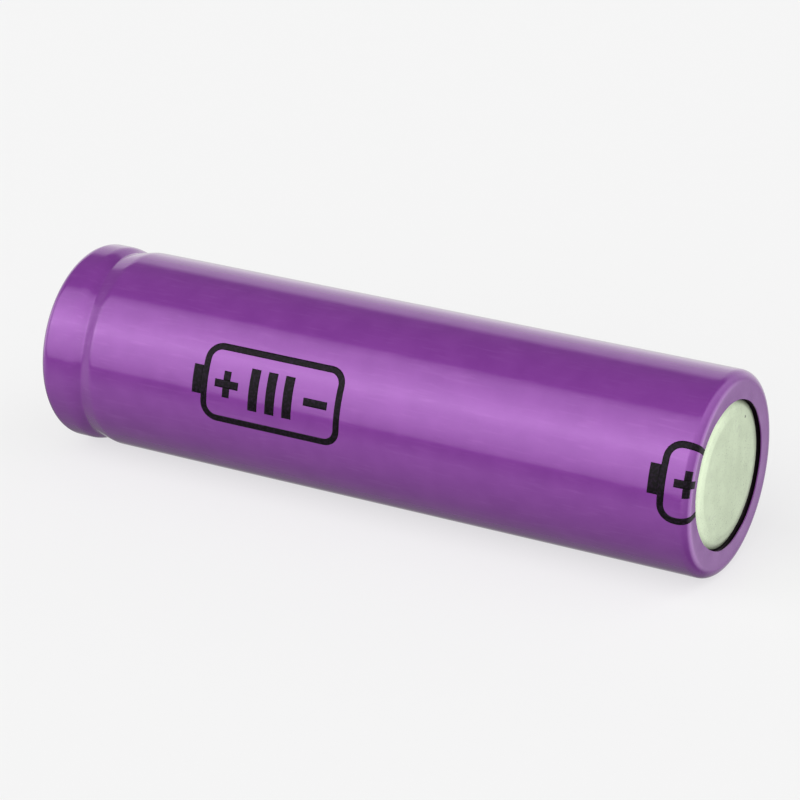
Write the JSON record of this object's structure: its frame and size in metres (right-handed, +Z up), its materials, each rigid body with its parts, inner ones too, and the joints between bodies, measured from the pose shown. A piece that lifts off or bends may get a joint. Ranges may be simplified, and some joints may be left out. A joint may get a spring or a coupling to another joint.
{
  "type": "cylindrical battery cell",
  "caption": "Cylindrical rechargeable cell in a shrink sleeve, with a flat positive cap behind a crimp groove, a bare negative base and a wound electrode roll inside.",
  "frame": {"origin": "centre of the cell, on its axis", "axes": "+X along the cell's axis towards the positive terminal, +Z up with the cell lying on its side, +Y across it"},
  "size_m": [0.0652, 0.0182, 0.0182],
  "materials": {
    "shrink_film": "glossy purple PVC film",
    "paper": "matt pressed paper",
    "nickel_plated_steel": "satin nickel plate",
    "gasket_plastic": "translucent moulded plastic",
    "cap_steel": "bright nickel plate",
    "ptc_polymer": "nickel-faced carbon polymer",
    "vent_aluminium": "rolled",
    "cid_plastic": "moulded polyester",
    "plate_aluminium": "rolled",
    "tab_aluminium": "rolled strip",
    "tab_tape": "amber tape",
    "insulator_plastic": "die-cut sheet",
    "aluminium_foil": "foil",
    "cathode_oxide": "calendered black coating",
    "separator_film": "porous white film",
    "copper_foil": "foil",
    "anode_graphite": "calendered graphite",
    "closing_tape": "green tape",
    "pin_steel": "stainless",
    "tab_nickel": "nickel strip"
  },
  "bodies": {
    "root": {"sleeve": "shrink_film", "top_insulator_ring": "paper", "can": "nickel_plated_steel", "gasket": "gasket_plastic", "top_cap": "cap_steel", "ptc_ring": "ptc_polymer", "vent_disc": "vent_aluminium", "cid_insulator_ring": "cid_plastic", "cid_plate": "plate_aluminium", "positive_tab": "tab_aluminium", "positive_tab_tape": "tab_tape", "upper_insulator_disc": "insulator_plastic", "cathode_foil": "aluminium_foil", "cathode_coating_inner": "cathode_oxide", "cathode_coating_outer": "cathode_oxide", "separator_inner": "separator_film", "separator_outer": "separator_film", "anode_foil": "copper_foil", "anode_coating_inner": "anode_graphite", "anode_coating_outer": "anode_graphite", "closing_tape": "closing_tape", "centre_pin": "pin_steel", "negative_tab": "tab_nickel", "negative_tab_tape": "tab_tape", "lower_insulator_disc": "insulator_plastic"}
  },
  "joints": []
}
